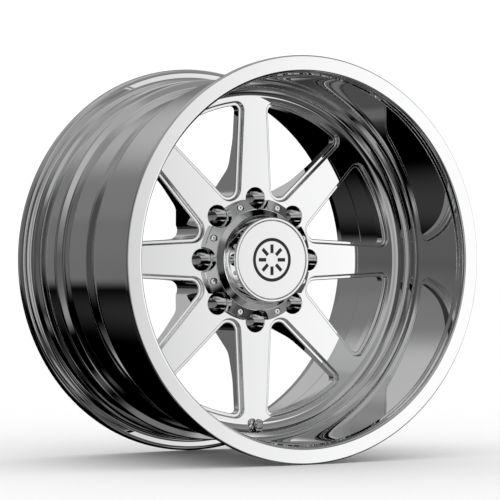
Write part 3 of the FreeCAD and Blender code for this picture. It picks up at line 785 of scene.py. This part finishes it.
def upright_wall(skin, plan, low, high):
    """Closed prism along Y over a counter-clockwise plan of (x, z)."""
    count = len(plan)
    for i in range(count):
        (x0, z0), (x1, z1) = plan[i], plan[(i + 1) % count]
        length = math.hypot(x1 - x0, z1 - z0)
        normal = ((z1 - z0) / length, 0.0, -(x1 - x0) / length)
        base = len(skin.points)
        skin.points.extend([(x0, low, z0), (x1, low, z1), (x1, high, z1), (x0, high, z0)])
        skin.face([(base + k, normal) for k in range(4)])
    for y, normal in ((low, (0, -1, 0)), (high, (0, 1, 0))):
        base = len(skin.points)
        skin.points.extend((x, y, z) for x, z in plan)
        skin.face([(base + k, normal) for k in range(count)])


def cutting_tool(name, plans, low, high):
    """One cutter with a prism for each plan."""
    skin = Skin()
    for plan in plans:
        upright_wall(skin, plan, low, high)
    skin.turn_round()
    return skin.build(name)


def circle_plan(x, z, radius, segments):
    angles = [2 * math.pi * k / segments for k in range(segments)]
    return [(x + radius * math.cos(a), z + radius * math.sin(a)) for a in angles]


def build_cap_plate():
    """Disc of the cap's end with the sunk lines of its plain mark."""
    radius = CAP_DISC_R - DISC_GAP
    top = CAP_FACE_Y + DISC_SINK
    floor = CAP_FACE_Y + DISC_SEAT_DEPTH
    stations = outline_stations([(0.0, top), (radius, top, SEAM_ROUND), (radius, floor), (0.0, floor)])
    skin = Skin()
    rows = turned_rows(stations[1:-1])
    skin.rows(rows)
    skin.close_ends(rows)
    plate = skin.build("cap_plate")
    start_r, length, width = MARK_BAR
    bar = [(start_r, -width / 2), (start_r + length, -width / 2),
           (start_r + length, width / 2), (start_r, width / 2)]
    bars = [[turn_plan(x, z, angle) for x, z in bar] for angle in spoke_angles()]
    clear = 1.0                             # the cutters start this far outside the disc
    low, high = top - clear, top + MARK_DEPTH
    tools = [cutting_tool("mark_bars", bars, low, high), ring_tool(*MARK_RING, low, high)]
    for tool in tools:
        cut(plate, tool)
        bpy.data.objects.remove(tool)
    use_exact_normals(plate)
    place(plate, WHEEL, "brushed_plate", "cap_face_disc")


def ring_tool(inner_r, outer_r, low, high):
    """Cutter of a plain square ring about the wheel's axis."""
    segments = 180
    outline = [(inner_r, low), (outer_r, low), (outer_r, high), (inner_r, high)]
    skin = Skin()
    skin.rows(turned_rows(outline_stations(outline), segments), wrap=True)
    skin.turn_round()
    return skin.build("mark_ring")


def notch_plan():
    """Round notch on +X whose mouth widens outwards."""
    near_x = NOTCH_X + FLARE_FROM[0]
    near_half = NOTCH_R + FLARE_FROM[1]
    far_x = NOTCH_X + FLARE_TO[0]
    far_half = NOTCH_R + FLARE_TO[1]
    first = math.atan2(near_half, near_x - NOTCH_X)
    steps = 60
    plan = []
    for k in range(steps + 1):
        angle = first + 2 * (math.pi - first) * k / steps
        plan.append((NOTCH_X + NOTCH_R * math.cos(angle), NOTCH_R * math.sin(angle)))
    return plan + [(far_x, -far_half), (far_x, far_half)]


def build_cap_ring():
    bore_segments, sink_segments = 32, 48
    clear = 5.0                             # the cutters end this far outside the ring
    chamfer_across, chamfer_along = CAP_TAB_CHAMFER
    outline = [
        (CAP_RING_BORE_R, FACE_Y),
        (CAP_TAB_R, FACE_Y),
        (CAP_TAB_R, CAP_TAB_EDGE_Y + chamfer_along, CAP_TAB_ROUND),
        (CAP_TAB_R - chamfer_across, CAP_TAB_EDGE_Y, CAP_TAB_ROUND),
        (CAP_FLANGE_R + CAP_RING_SHOULDER, CAP_RING_TOP_Y, 0.8),
        (CAP_RING_BORE_R, CAP_RING_TOP_Y),
    ]
    skin = Skin()
    skin.rows(turned_rows(outline_stations(outline)), wrap=True)
    ring = skin.build("cap_ring")
    below, above = CAP_RING_TOP_Y - clear, FACE_Y + clear
    notches = [[turn_plan(x, z, angle) for x, z in notch_plan()] for angle in spoke_angles()]
    screw_places = [turn_plan(CAP_SCREW_CIRCLE_R, 0.0, angle) for angle in spoke_angles(SPOKE_STEP / 2)]
    bore_r = CAP_SCREW_R + CAP_SCREW_GAP
    sink_r = CAP_SCREW_HEAD_R + CAP_SCREW_HEAD_GAP
    bores = [circle_plan(x, z, bore_r, bore_segments) for x, z in screw_places]
    sinks = [circle_plan(x, z, sink_r, sink_segments) for x, z in screw_places]
    for plans, high in ((notches, above), (bores, above), (sinks, CAP_SCREW_SEAT_Y)):
        tool = cutting_tool("cap_ring_tool", plans, below, high)
        cut(ring, tool)
        bpy.data.objects.remove(tool)
    use_exact_normals(ring)
    place(ring, WHEEL, "cap_chrome", "cap_base_ring")


def build_rear_weld():
    """Rounded fillet weld with a fine ripple along the seam."""
    ripples = 520
    segments = 4 * ripples
    ripple_height = 0.04
    crown_steps = 10
    leg = 6.0                               # along the bore, from the ring's rear face
    swell_across, swell_along = 1.5, 0.3
    chamfer_across, chamfer_along = RING_CHAMFER
    foot = (BORE_R - chamfer_across, RING_REAR_Y)
    toe = (BORE_R, RING_REAR_Y + leg)

    def seam(r, y, height, facing, tilt):
        row = []
        for m in range(segments):
            angle = 2 * math.pi * m / segments
            c, s = math.cos(angle), math.sin(angle)
            here = r + height * math.cos(angle * ripples)
            normal = (facing * c, tilt, facing * s)
            row.append(((here * c, y, here * s), normal, normal))
        return row

    rows = []
    for k in range(crown_steps + 1):
        share = k / crown_steps
        swell = math.sin(math.pi * share)
        r = foot[0] + (toe[0] - foot[0]) * share - swell_across * swell
        y = foot[1] + (toe[1] - foot[1]) * share + swell_along * swell
        rows.append(seam(r, y, ripple_height * swell, -1.0, 0.4))
    # The root's normals cancel the crown's, so the two strips hidden beside it have no sure winding.
    rows.append(seam(BORE_R, RING_REAR_Y - chamfer_along, 0.0, 1.0, -0.4))
    skin = Skin()
    skin.rows(rows, wrap=True)
    weld = skin.build("rear_weld")
    weld.data.attributes.remove(weld.data.attributes["exact"])
    smooth_faces(weld)
    place(weld, WHEEL, "weld_metal", "weld_bead_rear")


def build_core_spring():
    """Coil of round wire in the valve core, which shortens as the pin is pressed."""
    sides = 12
    steps_per_turn = 32
    steps = round(SPRING_HEIGHT / SPRING_PITCH * steps_per_turn)
    lean = Matrix.Rotation(VALVE_LEAN, 3, "X")
    spots = []
    for step in range(steps + 1):
        turn = 2 * math.pi * step / steps_per_turn
        outward = Vector((math.cos(turn), math.sin(turn), 0.0))
        rise = SPRING_PITCH * step / steps_per_turn
        middle = outward * SPRING_R + Vector((0, 0, SPRING_LOW + rise))
        along = Vector((-outward.y, outward.x, SPRING_PITCH / (2 * math.pi * SPRING_R))).normalized()
        across = along.cross(outward)
        for side in range(sides):
            angle = 2 * math.pi * side / sides
            spot = middle + (outward * math.cos(angle) + across * math.sin(angle)) * SPRING_WIRE_R
            spots.append((VALVE_SEAT + lean @ spot) * MM)
    faces = [tuple(range(sides)), tuple(reversed(range(steps * sides, (steps + 1) * sides)))]
    for step in range(steps):
        for side in range(sides):
            here = step * sides
            following = (side + 1) % sides
            faces.append((here + side, here + sides + side, here + sides + following, here + following))
    mesh = bpy.data.meshes.new("core_spring")
    mesh.from_pydata(spots, [], faces)
    spring = bpy.data.objects.new("core_spring", mesh)
    bpy.context.scene.collection.objects.link(spring)
    smooth_faces(spring)
    place(spring, WHEEL, "spring_steel", "valve_core_spring")
    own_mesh(spring)


# ---- Materials ----
RANGE_SOCKETS = ("From Min", "From Max", "To Min", "To Max")


class Shader:
    """A material's node tree with short ways to add nodes."""

    def __init__(self, name):
        self.material = bpy.data.materials.new(name)
        self.material.use_nodes = True
        self.tree = self.material.node_tree
        self.surface = self.tree.nodes["Principled BSDF"]

    def node(self, kind, **inputs):
        made = self.tree.nodes.new(kind)
        for name, value in inputs.items():
            made.inputs[name.replace("_", " ")].default_value = value
        return made

    def link(self, source, target):
        self.tree.links.new(source, target)

    def math(self, operation, first, second=None):
        made = self.tree.nodes.new("ShaderNodeMath")
        made.operation = operation
        for socket, value in zip(made.inputs, (first, second)):
            if value is None:
                continue
            if isinstance(value, (int, float)):
                socket.default_value = value
            else:
                self.link(value, socket)
        return made.outputs[0]

    def noise(self, scale, detail, stretch=None):
        """Noise over the object's own coordinates, in metres."""
        where = self.node("ShaderNodeTexCoord").outputs["Object"]
        if stretch:
            mapping = self.node("ShaderNodeMapping")
            mapping.inputs["Scale"].default_value = stretch
            self.link(where, mapping.inputs["Vector"])
            where = mapping.outputs["Vector"]
        made = self.node("ShaderNodeTexNoise", Scale=scale, Detail=detail)
        self.link(where, made.inputs["Vector"])
        return made.outputs["Fac"]

    def turning(self, scale):
        """Fine noise that changes only with the distance from the wheel's axis and along it."""
        where = self.node("ShaderNodeTexCoord").outputs["Object"]
        parts = self.node("ShaderNodeSeparateXYZ")
        self.link(where, parts.inputs[0])
        x2 = self.math("MULTIPLY", parts.outputs["X"], parts.outputs["X"])
        z2 = self.math("MULTIPLY", parts.outputs["Z"], parts.outputs["Z"])
        radius = self.math("SQRT", self.math("ADD", x2, z2))
        joined = self.node("ShaderNodeCombineXYZ")
        self.link(radius, joined.inputs["X"])
        self.link(parts.outputs["Y"], joined.inputs["Y"])
        made = self.node("ShaderNodeTexNoise", Scale=scale, Detail=3.0)
        self.link(joined.outputs[0], made.inputs["Vector"])
        return made.outputs["Fac"]

    def spread(self, value, low, high, out_low, out_high):
        made = self.node("ShaderNodeMapRange")
        self.link(value, made.inputs["Value"])
        for name, number in zip(RANGE_SOCKETS, (low, high, out_low, out_high)):
            made.inputs[name].default_value = number
        return made.outputs["Result"]

    def colours(self, value, first, second):
        ramp = self.node("ShaderNodeValToRGB")
        ramp.color_ramp.elements[0].color = (*first, 1)
        ramp.color_ramp.elements[1].color = (*second, 1)
        self.link(value, ramp.inputs["Fac"])
        self.link(ramp.outputs["Color"], self.surface.inputs["Base Color"])

    def bump(self, height, distance):
        made = self.node("ShaderNodeBump", Distance=distance, Strength=1.0)
        self.link(height, made.inputs["Height"])
        self.link(made.outputs["Normal"], self.surface.inputs["Normal"])


def polished_metal(name, dark, light, gloss, haze, turning_depth):
    """Mirror polish: faint turning lines, a light haze of handling and fine buffing marks."""
    shader = Shader(name)
    shader.surface.inputs["Metallic"].default_value = 1.0
    cloud = shader.noise(9.0, 4.0)
    buff = shader.noise(420.0, 3.0, (1.0, 0.25, 1.0))
    lines = shader.turning(1400.0)
    shader.colours(shader.spread(cloud, 0.35, 0.65, 0.0, 1.0), dark, light)
    wear = shader.math("MULTIPLY", shader.spread(cloud, 0.45, 0.75, 0.0, haze),
                       shader.spread(buff, 0.3, 0.7, 0.4, 1.0))
    shader.link(shader.math("ADD", wear, gloss), shader.surface.inputs["Roughness"])
    shader.bump(lines, turning_depth)
    return shader.material


def satin_plate(name):
    """Fine circular satin of a turned plate."""
    shader = Shader(name)
    shader.surface.inputs["Metallic"].default_value = 1.0
    lines = shader.turning(2600.0)
    shader.colours(lines, (0.88, 0.88, 0.88), (0.94, 0.94, 0.94))
    shader.link(shader.spread(lines, 0.2, 0.8, 0.05, 0.10), shader.surface.inputs["Roughness"])
    shader.bump(lines, 0.0000005)
    return shader.material


def grained(name, metallic, scale, detail, tones, gloss, depth):
    """One fine grain that changes the colour, the roughness and the surface together."""
    shader = Shader(name)
    shader.surface.inputs["Metallic"].default_value = metallic
    grain = shader.noise(scale, detail)
    shader.colours(grain, *tones)
    shader.link(shader.spread(grain, 0.3, 0.7, *gloss), shader.surface.inputs["Roughness"])
    shader.bump(grain, depth)
    return shader.material


def as_welded(name):
    tones = ((0.78, 0.78, 0.79), (0.93, 0.93, 0.93))
    return grained(name, 1.0, 700.0, 4.0, tones, (0.015, 0.05), 0.00002)


def enamel(name):
    tones = ((0.008, 0.008, 0.008), (0.016, 0.016, 0.016))
    return grained(name, 0.0, 900.0, 2.0, tones, (0.30, 0.42), 0.00001)


def rubber(name):
    tones = ((0.012, 0.012, 0.012), (0.03, 0.03, 0.03))
    return grained(name, 0.0, 1500.0, 3.0, tones, (0.6, 0.8), 0.00003)


def bare_metal(name, dark, light, low, high):
    """Small machined parts with a slightly uneven gloss."""
    return grained(name, 1.0, 1200.0, 3.0, (dark, light), (low, high), 0.000004)


def plastic(name, dark, light):
    return grained(name, 0.0, 1400.0, 3.0, (dark, light), (0.4, 0.55), 0.00001)


MATERIALS = {
    "polished_forging": polished_metal("mirror_forging", (0.915, 0.918, 0.922), (0.94, 0.94, 0.945),
                                       0.008, 0.014, 0.0000001),
    "weld_metal": as_welded("weld_metal"),
    "cap_chrome": polished_metal("cap_chrome", (0.90, 0.905, 0.91), (0.93, 0.93, 0.935),
                                 0.01, 0.012, 0.0000001),
    "brushed_plate": satin_plate("brushed_plate"),
    "black_enamel": enamel("black_enamel"),
    "screw_steel": bare_metal("screw_steel", (0.86, 0.86, 0.87), (0.94, 0.94, 0.94), 0.02, 0.05),
    "spring_steel": bare_metal("spring_steel", (0.5, 0.5, 0.5), (0.6, 0.6, 0.61), 0.2, 0.35),
    "valve_chrome": bare_metal("valve_chrome", (0.88, 0.88, 0.89), (0.93, 0.93, 0.94), 0.03, 0.06),
    "valve_brass": bare_metal("valve_brass", (0.66, 0.48, 0.2), (0.78, 0.6, 0.28), 0.15, 0.3),
    "seal_rubber": rubber("seal_rubber"),
    "core_plastic": plastic("core_plastic", (0.6, 0.08, 0.06), (0.75, 0.12, 0.1)),
}


def dress(thing, slot_name):
    thing.data.materials.clear()
    thing.data.materials.append(MATERIALS[slot_name])


# ---- Studio ----
CAMERA_DISTANCE = 13.8787 * FLANGE_R * MM
CAMERA_TURN = math.radians(-30.02)
CAMERA_LENS = 197.02
CAMERA_SHIFT = (0.0057, 0.0196)
FLOOR_HALF = 30.0                       # metres, as the gap below
FLOOR_GAP = 0.0004
BACKGROUND_STRENGTH = 1.08


def build_camera():
    """Same viewing angle as the reference: thirty degrees round to the left, level with the axis."""
    data = bpy.data.cameras.new("camera")
    camera = bpy.data.objects.new("camera", data)
    bpy.context.scene.collection.objects.link(camera)
    camera.location = (CAMERA_DISTANCE * math.sin(CAMERA_TURN), -CAMERA_DISTANCE * math.cos(CAMERA_TURN), 0.0)
    camera.rotation_euler = (math.pi / 2, 0.0, CAMERA_TURN)
    data.sensor_width = 36.0
    data.lens = CAMERA_LENS
    data.shift_x, data.shift_y = CAMERA_SHIFT
    data.clip_end = 100.0
    bpy.context.scene.camera = camera


def build_floor():
    size = FLOOR_HALF
    level = -FLANGE_R * MM - FLOOR_GAP
    mesh = bpy.data.meshes.new("studio_floor")
    corners = [(-size, -size, level), (size, -size, level), (size, size, level), (-size, size, level)]
    mesh.from_pydata(corners, [], [(0, 1, 2, 3)])
    floor = bpy.data.objects.new("studio_floor", mesh)
    bpy.context.scene.collection.objects.link(floor)
    shader = Shader("studio_floor")
    shader.surface.inputs["Base Color"].default_value = (0.93, 0.93, 0.93, 1)
    shader.surface.inputs["Roughness"].default_value = 1.0
    shader.surface.inputs["Specular IOR Level"].default_value = 0.0
    mesh.materials.append(shader.material)
    floor.visible_glossy = False


# Panels that the polish mirrors, in degrees round from the front and up from level.  Each has
# its azimuths and their softness, elevations and their softness, and its brightness.
# A later panel stands in front of the earlier ones.
PANELS = [
    (-140, -98, 12, -6, 30, 8, 0.065),     # dark left side
    (-98, -74, 8, -14, 40, 8, 0.13),       # gray left side
    (-74, -33, 6, -16, 34, 8, 0.07),       # dim front left
    (-28, 6, 6, 30, 60, 6, 0.4),           # front, upper
    (-38, -30, 2, -16, 2, 4, 0.11),        # edge of the dim front left
    (-30, -8, 2, -20, 40, 5, 0.46),        # soft panel in front
    (-10, 18, 6, -17, 30, 5, 0.32),        # front
    (-46, -18, 8, -54, -40, 4, 0.38),      # low light band
    (-66, -46, 6, -64, -34, 6, 0.09),      # its dim end
    (2, 30, 8, -42, -18, 6, 0.08),         # low front right
    (-4, 36, 8, -66, -46, 6, 0.17),        # below it
    (36, 52, 6, -60, -42, 6, 0.42),        # low right
    (5, 11, 2, -38, -24, 3, 0.14),         # thin strip in the low front right
    (28, 50, 8, -28, -10, 5, 0.08),        # below the key light
    (166, 215, 12, -7, 12, 2, 0.16),       # behind
    (140, 206, 8, 26, 52, 5, 0.48),        # behind, upper
    (-158, -130, 6, -46, -12, 5, 0.035),   # low behind, left
    (26, 80, 8, -9, 11, 4, 1.05),          # key light
    (56, 82, 5, -14, 34, 7, 1.05),         # its taller end
    (86, 110, 4, -40, 45, 8, 0.03),        # dark right side
    (114, 150, 6, -22, 45, 8, 0.7),        # rear light
]


def build_world():
    """White studio; what the polish mirrors is a set of soft panels round a dark floor."""
    world = bpy.data.worlds.new("studio")
    bpy.context.scene.world = world
    world.use_nodes = True
    tree = world.node_tree
    tree.nodes.clear()

    def link(source, target):
        tree.links.new(source, target)

    def calc(operation, first, second=None):
        made = tree.nodes.new("ShaderNodeMath")
        made.operation = operation
        for socket, value in zip(made.inputs, (first, second)):
            if isinstance(value, (int, float)):
                socket.default_value = value
            elif value is not None:
                link(value, socket)
        return made.outputs[0]

    def ramp(value, low, high, out_low, out_high):
        made = tree.nodes.new("ShaderNodeMapRange")
        made.interpolation_type = "SMOOTHSTEP"
        link(value, made.inputs["Value"])
        for name, number in zip(RANGE_SOCKETS, (low, high, out_low, out_high)):
            made.inputs[name].default_value = number
        return made.outputs["Result"]

    def band(value, low, high, soft):
        rise = ramp(value, low - soft, low + soft, 0, 1)
        fall = ramp(value, high - soft, high + soft, 1, 0)
        return calc("MULTIPLY", rise, fall)

    direction = tree.nodes.new("ShaderNodeTexCoord").outputs["Generated"]
    parts = tree.nodes.new("ShaderNodeSeparateXYZ")
    link(direction, parts.inputs[0])
    x, y, z = parts.outputs
    azimuth = calc("MULTIPLY", calc("ARCTAN2", x, calc("MULTIPLY", y, -1.0)), 180 / math.pi)
    elevation = calc("MULTIPLY", calc("ARCSINE", z), 180 / math.pi)

    # Dark below level, and brighter in two more steps towards the top.
    light = ramp(elevation, -6, 6, 0.0, 0.19)
    light = calc("ADD", light, ramp(elevation, 15, 50, 0.0, 0.07))
    light = calc("ADD", light, ramp(elevation, 58, 75, 0.0, 0.2))
    behind = calc("MODULO", calc("ADD", azimuth, 360.0), 360.0)
    for az_low, az_high, az_soft, el_low, el_high, el_soft, value in PANELS:
        across = behind if az_high > 180 else azimuth
        panel = calc("MULTIPLY", band(across, az_low, az_high, az_soft),
                     band(elevation, el_low, el_high, el_soft))
        change = calc("MULTIPLY", calc("SUBTRACT", value, light), panel)
        light = calc("ADD", light, change)

    mirrored = tree.nodes.new("ShaderNodeBackground")
    link(light, mirrored.inputs["Color"])
    white = tree.nodes.new("ShaderNodeBackground")
    white.inputs["Color"].default_value = (1, 1, 1, 1)
    white.inputs["Strength"].default_value = BACKGROUND_STRENGTH
    paths = tree.nodes.new("ShaderNodeLightPath")
    mixed = tree.nodes.new("ShaderNodeMixShader")
    link(paths.outputs["Is Glossy Ray"], mixed.inputs["Fac"])
    link(white.outputs[0], mixed.inputs[1])
    link(mirrored.outputs[0], mixed.inputs[2])
    out = tree.nodes.new("ShaderNodeOutputWorld")
    link(mixed.outputs[0], out.inputs["Surface"])


def build_scene():
    cutter = valve_cutter()
    build_barrel(cutter)
    build_front_weld(cutter)
    build_spoke_centre(cutter)
    bpy.data.objects.remove(cutter)
    build_cap_body()
    build_cap_plate()
    build_cap_ring()
    build_rear_weld()
    build_core_spring()
    slots = {row["node"]: row["material_slot"] for row in frame["record"]["subparts"]}
    for name, thing in frame["nodes"].items():
        dress(thing, slots[name])
        smooth_faces(thing)
    build_camera()
    build_floor()
    build_world()
    bpy.context.scene.view_settings.view_transform = "Standard"


build_scene()
